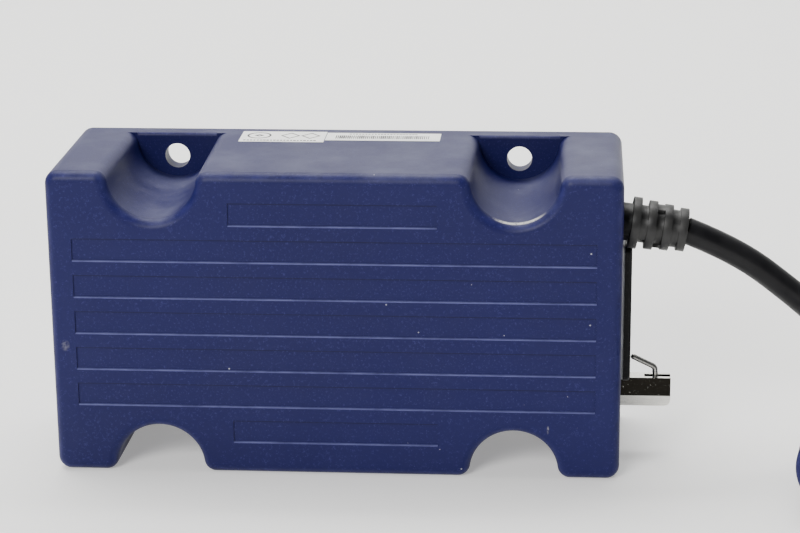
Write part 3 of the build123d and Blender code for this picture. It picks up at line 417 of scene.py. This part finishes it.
# ==== Back cover ====
# A flat plate in the same blue plastic, sunk half a millimetre below the mounting face.
# It is pressed onto a rubber gasket by six zinc-plated thread-forming screws.
def rubber(name, dark, light, rough, film_share=0.12, core=None):
    """Moulded rubber: matt, faintly mottled, with a bloom of dust and painted sheen; around a core, the
    recesses get painted shade and no bloom.
    """
    material, sheet, shader = start_material(name, Specular_IOR_Level=0.45)
    where = sheet.where()
    grain = use_group(sheet, grain_group, Vector=where, Scale=1500.0)
    dust = use_group(sheet, dust_group, Vector=where, Scale=150.0)
    mottle = sheet.remap(sheet.noise(where, 160.0, 4.0, 0.6), 0.34, 0.66)
    colour = sheet.mix(mottle, dark, light)
    bloom_and_sheen = sheet.math("MULTIPLY", dust["Film"], film_share)
    if core is not None:
        base, axis, inner, outer = core
        offset = sheet.add("ShaderNodeVectorMath", {0: where, 1: base}, operation="SUBTRACT").outputs[0]
        swing = sheet.add("ShaderNodeVectorMath", {0: offset, 1: axis}, operation="CROSS_PRODUCT").outputs[0]
        radius = sheet.add("ShaderNodeVectorMath", {0: swing}, operation="LENGTH").outputs["Value"]
        # Painted shade: inside the core's inner radius the recesses are darkened to near black, and the bloom
        # is kept off them.
        proud = sheet.remap(radius, inner, outer)
        colour = sheet.mix(proud, recess_shade_colour, colour)
        bloom_and_sheen = sheet.math("MULTIPLY", bloom_and_sheen, proud)
    # Dust and painted sheen: the olive-grey bloom colour is mixed in where the dust film lies.
    colour = sheet.mix(bloom_and_sheen, colour, bloom_and_sheen_colour)
    sheet.tree.links.new(colour, shader.inputs["Base Color"])
    sheet.tree.links.new(sheet.remap(mottle, 0.0, 1.0, rough, rough + 0.12), shader.inputs["Roughness"])
    sheet.tree.links.new(sheet.bump(grain["Height"], 0.45, 0.00005), shader.inputs["Normal"])
    return material


def plated_metal(name, dark, light, rough, stretch=(1.0, 1.0, 1.0), painted_side_reflection=None):
    """Plated or drawn metal: fine lines along the stretch, a clouded finish, and on request a painted dark
    reflection on the faces that look along Y.
    """
    material, sheet, shader = start_material(name, Metallic=1.0)
    where = sheet.where()
    drawn = sheet.add("ShaderNodeMapping", {"Vector": where, "Scale": stretch}).outputs[0]
    lines = sheet.remap(sheet.noise(drawn, 1500.0, 3.0, 0.6), 0.32, 0.68)
    cloud = sheet.remap(sheet.noise(where, 240.0, 4.0, 0.6), 0.35, 0.68)
    colour = sheet.mix(sheet.math("MULTIPLY", lines, 0.6), light, dark)
    colour = sheet.mix(sheet.math("MULTIPLY", cloud, 0.35), colour, dark)
    # Painted reflection: faces that look along Y are darkened to the given colour, with fine noise breaking
    # it.
    if painted_side_reflection is not None:
        normal = sheet.add("ShaderNodeNewGeometry").outputs["Normal"]
        side = sheet.math("ABSOLUTE", sheet.add("ShaderNodeSeparateXYZ", {0: normal}).outputs["Y"])
        reflection_gaps = sheet.remap(sheet.noise(where, 1500.0, 5.0, 0.7), 0.62, 0.80)
        dark_reflection_share = sheet.math("MULTIPLY", sheet.remap(side, 0.94, 0.99), sheet.math("SUBTRACT", 1.0, reflection_gaps))
        colour = sheet.mix(dark_reflection_share, colour, painted_side_reflection)
    sheet.tree.links.new(colour, shader.inputs["Base Color"])
    sheet.tree.links.new(sheet.remap(lines, 0.0, 1.0, rough, rough + 0.14), shader.inputs["Roughness"])
    sheet.tree.links.new(sheet.bump(lines, 0.18, 0.00002), shader.inputs["Normal"])
    return material


# The recess colour is painted shade.
recess_shade_colour = (0.002, 0.002, 0.002, 1)
# The bloom colour is dust and painted sheen.
bloom_and_sheen_colour = (0.24, 0.24, 0.21, 1)
cover_plastic = moulded_plastic("cover_plastic", housing_dark, housing_light, 0.46, 0.30, specular=0.20)
seal_rubber = rubber("seal_rubber", (0.012, 0.012, 0.012, 1), (0.024, 0.024, 0.023, 1), 0.62)
zinc_steel = plated_metal("zinc_steel", (0.30, 0.31, 0.30, 1), (0.52, 0.52, 0.50, 1), 0.30)
dress("back_cover", cover_plastic)
dress("cover_gasket", seal_rubber)
dress("cover_screws", zinc_steel)


# ==== Labels ====
# Two coated-paper labels stuck on the upper long face. Their print is generic: a ring, two
# diamonds, rows of small blocks and a run of bars, laid on the paper as a thin film of ink.
def label_paper_material():
    material, sheet, shader = start_material("label_paper", Coat_Roughness=0.25)
    where = sheet.where()
    fibre = sheet.remap(sheet.noise(where, 2600.0, 4.0, 0.65), 0.3, 0.7)
    stain = sheet.remap(sheet.noise(where, 110.0, 4.0, 0.6), 0.50, 0.80)
    colour = sheet.mix(fibre, (0.90, 0.90, 0.88, 1), (0.97, 0.97, 0.96, 1))
    colour = sheet.mix(sheet.math("MULTIPLY", stain, 0.18), colour, (0.55, 0.54, 0.50, 1))
    sheet.tree.links.new(colour, shader.inputs["Base Color"])
    sheet.tree.links.new(sheet.remap(stain, 0.0, 1.0, 0.42, 0.60), shader.inputs["Roughness"])
    sheet.tree.links.new(sheet.bump(fibre, 0.2, 0.00002), shader.inputs["Normal"])
    return material


def label_ink_material():
    material, sheet, shader = start_material("label_ink", Specular_IOR_Level=0.3)
    thin = sheet.remap(sheet.noise(sheet.where(), 3200.0, 3.0, 0.6), 0.40, 0.75)
    colour = sheet.mix(thin, (0.012, 0.012, 0.013, 1), (0.060, 0.060, 0.062, 1))
    sheet.tree.links.new(colour, shader.inputs["Base Color"])
    sheet.tree.links.new(sheet.remap(thin, 0.0, 1.0, 0.5, 0.7), shader.inputs["Roughness"])
    return material


def make_bar_row_tree(ink):
    """A row of printed bars of uneven width along X."""
    tree = bpy.data.node_groups.new("bar_row", "GeometryNodeTree")
    tree.interface.new_socket("Geometry", in_out="OUTPUT", socket_type="NodeSocketGeometry")
    sockets = {}
    for name, kind, value in (("Count", "NodeSocketInt", 30), ("Pitch", "NodeSocketFloat", 0.4 * MM),
                              ("Thin", "NodeSocketFloat", 0.12 * MM), ("Thick", "NodeSocketFloat", 0.3 * MM),
                              ("Height", "NodeSocketFloat", 3.0 * MM), ("Seed", "NodeSocketInt", 1)):
        socket = tree.interface.new_socket(name, in_out="INPUT", socket_type=kind)
        socket.default_value = value
        sockets[name] = socket.identifier
    sheet = Sheet(tree)
    given = sheet.add("NodeGroupInput").outputs
    step = sheet.add("ShaderNodeCombineXYZ", {"X": given["Pitch"]}).outputs[0]
    row = sheet.add("GeometryNodeMeshLine", {"Count": given["Count"], "Offset": step}).outputs["Mesh"]
    low = sheet.add("ShaderNodeCombineXYZ", {"X": given["Thin"], "Y": given["Height"], "Z": ink_thickness})
    high = sheet.add("ShaderNodeCombineXYZ", {"X": given["Thick"], "Y": given["Height"], "Z": ink_thickness})
    width = sheet.add("FunctionNodeRandomValue", {0: low.outputs[0], 1: high.outputs[0],
                                                  "Seed": given["Seed"]}, data_type="FLOAT_VECTOR")
    cube = sheet.add("GeometryNodeMeshCube").outputs["Mesh"]
    placed = sheet.add("GeometryNodeInstanceOnPoints", {"Points": row, "Instance": cube,
                                                        "Scale": width.outputs[0]}).outputs[0]
    real = sheet.add("GeometryNodeRealizeInstances", {0: placed}).outputs[0]
    inked = sheet.add("GeometryNodeSetMaterial", {"Geometry": real, "Material": ink}).outputs[0]
    sheet.tree.links.new(inked, sheet.add("NodeGroupOutput").inputs[0])
    return tree, sockets


def bake_nodes(name, tree, sockets, values, place):
    """Runs a Geometry Nodes tree with its inputs set, and keeps the result as a plain mesh."""
    holder = new_mesh_object(name + "_source", [(0, 0, 0)], [])
    modifier = holder.modifiers.new("tree", "NODES")
    modifier.node_group = tree
    for key, value in values.items():
        modifier[sockets[key]] = value
    graph = bpy.context.evaluated_depsgraph_get()
    mesh = bpy.data.meshes.new_from_object(holder.evaluated_get(graph))
    mesh.transform(Matrix.Translation(place))
    bpy.data.objects.remove(holder)
    made = bpy.data.objects.new(name, mesh)
    scene.collection.objects.link(made)
    return made


def flat_ring(sides, outer, inner, centre, squeeze=1.0):
    """Vertices and faces of a thin closed ring with straight sides; four sides make a diamond."""
    vertices = []
    for height in (0.0, ink_thickness):
        for radius in (outer, inner):
            for index in range(sides):
                angle = 2 * math.pi * index / sides
                vertices.append((centre[0] + radius * math.cos(angle),
                                 centre[1] + radius * squeeze * math.sin(angle), centre[2] + height))
    faces = []
    for index in range(sides):
        after = (index + 1) % sides
        low_out, low_in, top_out, top_in = (level * sides for level in range(4))
        faces.append((top_out + index, top_out + after, top_in + after, top_in + index))
        faces.append((low_out + after, low_out + index, low_in + index, low_in + after))
        faces.append((low_out + index, low_out + after, top_out + after, top_out + index))
        faces.append((low_in + after, low_in + index, top_in + index, top_in + after))
    return vertices, faces


ink_thickness = 0.012 * MM
label_paper = label_paper_material()
label_ink = label_ink_material()
dress("approval_label", label_paper)
dress("barcode_label", label_paper)
left_low, left_high = (Vector(corner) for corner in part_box("approval_label"))
right_low = Vector(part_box("barcode_label")[0])
bar_tree, bar_sockets = make_bar_row_tree(label_ink)
# Name, corner, offsets along and across, count, pitch, thin, thick, height (all mm) and seed.
label_rows = [
    ("code_bars", right_low, 2.6, 3.3, 48, 0.50, 0.16, 0.40, 3.2, 7),
    ("code_caption", right_low, 6.0, 6.5, 22, 0.80, 0.40, 0.66, 0.6, 3),
    ("rating_line", left_low, 1.4, 1.4, 22, 0.85, 0.40, 0.70, 0.8, 2),
]
for name, corner, along, across, count, pitch, thin, thick, height, seed in label_rows:
    row = bake_nodes(
        name, bar_tree, bar_sockets,
        {"Count": count, "Pitch": pitch * MM, "Thin": thin * MM, "Thick": thick * MM,
         "Height": height * MM, "Seed": seed},
        (corner.x + along * MM, corner.y + across * MM, left_high.z + ink_thickness / 2),
    )
    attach(row, "controller")
for name, sides, outer, inner, along, squeeze in (
    ("ring_mark", 40, 3.1, 2.6, 4.6, 1.0), ("ring_bar", 4, 1.3, 0.5, 4.6, 0.8),
    ("left_diamond", 4, 2.5, 2.0, 12.6, 1.2), ("right_diamond", 4, 2.5, 2.0, 17.8, 1.2),
):
    middle = (left_low.x + along * MM, left_low.y + 6.4 * MM, left_high.z)
    mark = new_mesh_object(name, *flat_ring(sides, outer * MM, inner * MM, middle, squeeze=squeeze))
    mark.data.materials.append(label_ink)
    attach(mark, "controller")


# ==== Strain relief ====
# A black rubber cage moulded onto the cable: rings joined by staggered webs let it bend evenly.
# Its flange sits behind the end wall, and every edge of the cage is softly rounded.
def softened_copy(node, name, width, material):
    """A merged copy of a node with its sharp edges rounded."""
    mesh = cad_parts[node].data.copy()
    mesh.name = name
    work = bmesh.new()
    work.from_mesh(mesh)
    bmesh.ops.remove_doubles(work, verts=work.verts, dist=0.002 * MM)
    bmesh.ops.dissolve_limit(work, angle_limit=math.radians(0.6), verts=work.verts, edges=work.edges)
    bmesh.ops.recalc_face_normals(work, faces=work.faces)
    work.to_mesh(mesh)
    work.free()
    made = bpy.data.objects.new(name, mesh)
    scene.collection.objects.link(made)
    bevel = made.modifiers.new("round", "BEVEL")
    bevel.width = width
    bevel.segments = 2
    bevel.limit_method = "ANGLE"
    bevel.angle_limit = math.radians(42.0)
    graph = bpy.context.evaluated_depsgraph_get()
    rounded = bpy.data.meshes.new_from_object(made.evaluated_get(graph))
    made.modifiers.clear()
    made.data = rounded
    rounded.materials.clear()
    rounded.materials.append(material)
    rounded.shade_smooth()
    rounded.set_sharp_from_angle(angle=math.radians(38.0))
    return made


boot_droop = math.radians(8.0)
boot_base = (0.070, -0.01025, 0.0629)
boot_axis = (math.cos(boot_droop), 0.0, -math.sin(boot_droop))
boot_core = (boot_base, boot_axis, 4.7 * MM, 5.2 * MM)
boot_rubber = rubber("boot_rubber", (0.005, 0.005, 0.0055, 1), (0.012, 0.012, 0.0115, 1), 0.40, 0.08,
                     boot_core)
strain_relief = softened_copy("strain_relief", "strain_relief_cage", 0.28 * MM, boot_rubber)
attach(strain_relief, "controller")
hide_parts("strain_relief")


# ==== Supply cable ====
# A round four-core lead with a smooth black jacket. It leaves the strain relief, falls in one
# long curve to the surface, and the length that isn't in use is wound and tied beside the box.
cable_radius = 3.3 * MM
coil_centre = Vector((0.1738, 0.0378, 0.008))
bundle_radius = 4.67 * MM
coil_mean_radius = 33.0 * MM
coil_points_per_turn = 20
cable_exit = (0.0853491, -0.01025, 0.0607428)
cable_fall = [
    cable_exit,
    (0.0974, -0.0097, 0.0558),
    (0.1106, -0.0079, 0.0456),
    (0.1226, -0.0053, 0.0346),
    (0.1340, -0.0029, 0.0236),
    (0.1464, -0.0008, 0.0134),
    (0.1592, 0.0008, 0.0066),
    (0.1714, 0.0012, 0.0048),
]
coil_start_turn = -90.0
coil_end_turn = 3 * 360 + 170.0


def coil_point(turn):
    """A point of the wound turns: the four strands twist slowly round the bundle's middle."""
    along = (turn - coil_start_turn) / 360.0
    strand = math.radians(-45.0 - 90.0 * along)
    out = coil_mean_radius + bundle_radius * math.cos(strand)
    height = coil_centre.z + bundle_radius * math.sin(strand)
    angle = math.radians(turn)
    wander = 0.25 * MM * math.sin(3.1 * angle)
    return (
        coil_centre.x + (out + wander) * math.cos(angle),
        coil_centre.y + (out + wander) * math.sin(angle),
        height,
    )


turn_step = 360.0 / coil_points_per_turn
coil_turns = [
    coil_point(coil_start_turn + turn_step * (index + 1))
    for index in range(int((coil_end_turn - coil_start_turn) / turn_step))
]
cable_tail = [
    (0.1342, 0.0265, 0.0118),
    (0.1318, 0.00865, 0.0118),
]


def make_cable():
    curve = bpy.data.curves.new("supply_cable", "CURVE")
    curve.dimensions = "3D"
    spline = curve.splines.new("NURBS")
    points = cable_fall + coil_turns + cable_tail
    spline.points.add(len(points) - 1)
    for target, place in zip(spline.points, points):
        target.co = (*place, 1.0)
    spline.order_u = 3
    spline.use_endpoint_u = True
    spline.resolution_u = 6
    curve.bevel_depth = cable_radius
    curve.bevel_resolution = 8
    curve.use_fill_caps = True
    cable = bpy.data.objects.new("supply_cable", curve)
    scene.collection.objects.link(cable)
    return cable


def jacket_material():
    """Extruded PVC jacket: near black, slightly glossy, with a faint ripple of the cores inside."""
    material, sheet, shader = start_material("cable_jacket", Specular_IOR_Level=0.20)
    where = sheet.where()
    dust = use_group(sheet, dust_group, Vector=where, Scale=120.0)
    mottle = sheet.remap(sheet.noise(where, 180.0, 3.0), 0.35, 0.65)
    colour = sheet.mix(mottle, (0.003, 0.003, 0.004, 1), (0.007, 0.007, 0.008, 1))
    colour = sheet.mix(sheet.math("MULTIPLY", dust["Film"], 0.04), colour, (0.2, 0.2, 0.2, 1))
    sheet.tree.links.new(colour, shader.inputs["Base Color"])
    scuff = sheet.noise(where, 420.0, 4.0, 0.6)
    sheet.tree.links.new(sheet.remap(scuff, 0.3, 0.7, 0.30, 0.46), shader.inputs["Roughness"])
    ripple = sheet.noise(where, 90.0, 2.0)
    sheet.tree.links.new(sheet.bump(ripple, 0.25, 0.0002), shader.inputs["Normal"])
    return material


cable = make_cable()
jacket = jacket_material()
cable.data.materials.append(jacket)
dress("cable_entry", jacket)
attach(cable, "controller")
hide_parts("cable_run", "cable_coil", "cable_tail")


# ==== Coil ties ====
# Two black hook-and-loop straps hold the wound cable. The woven face shows fine cross threads.
def strap_material():
    material, sheet, shader = start_material("tie_fabric", Sheen_Weight=0.35)
    where = sheet.where()
    threads = sheet.add("ShaderNodeTexWave", {"Vector": where, "Scale": 700.0, "Distortion": 1.5},
                        bands_direction="Z").outputs["Fac"]
    fuzz = sheet.remap(sheet.noise(where, 1700.0, 4.0, 0.7), 0.3, 0.7)
    height = sheet.math("ADD", sheet.math("MULTIPLY", threads, 0.6), sheet.math("MULTIPLY", fuzz, 0.4))
    sheet.tree.links.new(sheet.mix(height, (0.008, 0.008, 0.009, 1), (0.045, 0.045, 0.048, 1)),
                         shader.inputs["Base Color"])
    sheet.tree.links.new(sheet.remap(fuzz, 0.0, 1.0, 0.75, 0.95), shader.inputs["Roughness"])
    sheet.tree.links.new(sheet.bump(height, 0.7, 0.00012), shader.inputs["Normal"])
    return material


dress("coil_ties", strap_material())


# ==== Cable plug ====
# A round blue plug body with finger grooves, moulded over a black insert with four plated pins.
# A ribbed rubber boot joins it to the cable.
black_plastic = moulded_plastic("black_plastic", (0.003, 0.003, 0.0035, 1), (0.006, 0.006, 0.0066, 1), 0.34,
                                0.02, axis=(1.0, 0.0, 0.0), specular=0.13)
contact_tin = plated_metal("contact_tin", (0.50, 0.49, 0.46, 1), (0.78, 0.77, 0.73, 1), 0.22)
plug_plastic = moulded_plastic("plug_plastic", housing_dark, housing_light, 0.40, 0.22, specular=0.24)
dress("plug_shell", plug_plastic)
dress("plug_insert", black_plastic)
dress("plug_pins", contact_tin)
dress("plug_boot", boot_rubber)


# ==== End socket ====
# A black bezel screwed through the end wall into the contact insert behind it, over a thin pale seal.
# Ten tinned blades stand in two rows in the mouth.
pale_seal = rubber("pale_seal", (0.30, 0.31, 0.33, 1), (0.42, 0.43, 0.45, 1), 0.55)
black_steel = plated_metal("black_steel", (0.02, 0.02, 0.021, 1), (0.07, 0.07, 0.072, 1), 0.38)
dress("socket_gasket", pale_seal)
dress("socket_bezel", black_plastic)
dress("socket_insert", black_plastic)
dress("bezel_screws", black_steel)
dress("socket_contacts", contact_tin)


# ==== Latch bar and wire latch ====
# A plated steel bar is screwed on from inside; its flat sides carry a painted dark reflection, broken by fine
# noise.
# A bent spring wire turns on the pin through the bar's fork and holds the mating plug in.
bar_nickel = plated_metal("bar_nickel", (0.62, 0.61, 0.57, 1), (0.90, 0.89, 0.84, 1), 0.14,
                          stretch=(0.12, 1.0, 1.0), painted_side_reflection=(0.012, 0.011, 0.009, 1))
spring_steel = plated_metal("spring_steel", (0.10, 0.10, 0.105, 1), (0.42, 0.41, 0.38, 1), 0.20)
dress("latch_bar", bar_nickel)
dress("latch_pin", bar_nickel)
dress("latch_screws", zinc_steel)
dress("wire_latch", spring_steel)


# ==== Circuit board ====
# Green glass-fibre laminate screwed to four standoffs, with copper tracks under the solder mask.
def laminate_material():
    material, sheet, shader = start_material("board_laminate", IOR=1.5)
    where = sheet.where()
    brick = sheet.add("ShaderNodeTexVoronoi", {"Vector": where, "Scale": 260.0},
                      feature="DISTANCE_TO_EDGE", distance="EUCLIDEAN").outputs["Distance"]
    track = sheet.remap(brick, 0.10, 0.05)
    weave = sheet.remap(sheet.noise(where, 1900.0, 2.0), 0.35, 0.65)
    colour = sheet.mix(weave, (0.010, 0.085, 0.030, 1), (0.014, 0.110, 0.040, 1))
    colour = sheet.mix(sheet.math("MULTIPLY", track, 0.55), colour, (0.035, 0.21, 0.07, 1))
    sheet.tree.links.new(colour, shader.inputs["Base Color"])
    sheet.tree.links.new(sheet.remap(weave, 0.0, 1.0, 0.22, 0.34), shader.inputs["Roughness"])
    sheet.tree.links.new(sheet.bump(track, 0.4, 0.00004), shader.inputs["Normal"])
    return material


dress("circuit_board", laminate_material())
dress("board_screws", zinc_steel)


# ==== Board components ====
# Power side: an extruded heat sink with four screwed transistors, two sleeved capacitors, the relay
# and the choke. Logic side: the controller, the sensor's plated can, the shunt and the fuse.
component_black = moulded_plastic("component_black", (0.008, 0.008, 0.008, 1), (0.02, 0.02, 0.02, 1), 0.50,
                                  0.10)
sink_aluminium = plated_metal("sink_aluminium", (0.55, 0.56, 0.58, 1), (0.82, 0.83, 0.85, 1), 0.30,
                              stretch=(0.05, 1.0, 1.0))
can_sleeve = plated_metal("can_aluminium", (0.40, 0.42, 0.46, 1), (0.66, 0.68, 0.73, 1), 0.26)
relay_case = moulded_plastic("relay_case", (0.010, 0.020, 0.090, 1), (0.014, 0.028, 0.120, 1), 0.34, 0.10)
ferrite = rubber("ferrite", (0.050, 0.050, 0.055, 1), (0.085, 0.085, 0.090, 1), 0.55)
winding_copper = plated_metal("winding_copper", (0.40, 0.13, 0.045, 1), (0.74, 0.30, 0.12, 1), 0.20,
                              stretch=(1.0, 0.08, 1.0))
shunt_metal = plated_metal("shunt_metal", (0.38, 0.29, 0.22, 1), (0.62, 0.50, 0.40, 1), 0.30)
component_finishes = {
    "heat_sink": sink_aluminium,
    "power_transistors": component_black,
    "transistor_screws": zinc_steel,
    "smoothing_capacitors": can_sleeve,
    "control_relay": relay_case,
    "choke_core": ferrite,
    "choke_winding": winding_copper,
    "controller_chip": component_black,
    "motion_sensor": zinc_steel,
    "current_shunt": shunt_metal,
    "fuse_clips": contact_tin,
}
for component, finish in component_finishes.items():
    dress(component, finish)


# ==== Fuse ====
# A clear glass tube between two spring clips, faintly streaked from handling.
def fuse_glass_material():
    material, sheet, shader = start_material("fuse_glass", IOR=1.46, Transmission_Weight=0.92)
    where = sheet.where()
    streak = sheet.remap(sheet.noise(where, 600.0, 3.0, 0.6), 0.35, 0.70)
    sheet.tree.links.new(sheet.mix(streak, (0.94, 0.96, 0.97, 1), (0.84, 0.88, 0.90, 1)),
                         shader.inputs["Base Color"])
    sheet.tree.links.new(sheet.remap(streak, 0.0, 1.0, 0.03, 0.12), shader.inputs["Roughness"])
    return material


dress("glass_fuse", fuse_glass_material())


# ==== Wiring inside the box ====
# The sheath is gripped by a nylon P-clip and screwed to a boss; four insulated cores bend down
# from its cut end into a natural nylon crimp block on the board.
clamp_nylon = moulded_plastic("clamp_nylon", (0.010, 0.010, 0.010, 1), (0.024, 0.024, 0.024, 1), 0.42, 0.10)
connector_nylon = moulded_plastic("connector_nylon", (0.58, 0.56, 0.49, 1), (0.70, 0.68, 0.61, 1), 0.45, 0.10)
core_insulation = moulded_plastic("core_insulation", (0.24, 0.012, 0.010, 1), (0.36, 0.020, 0.016, 1), 0.32,
                                  0.06)
dress("cable_clamp", clamp_nylon)
dress("clamp_screw", zinc_steel)
dress("terminal_block", connector_nylon)
dress("cable_cores", core_insulation)
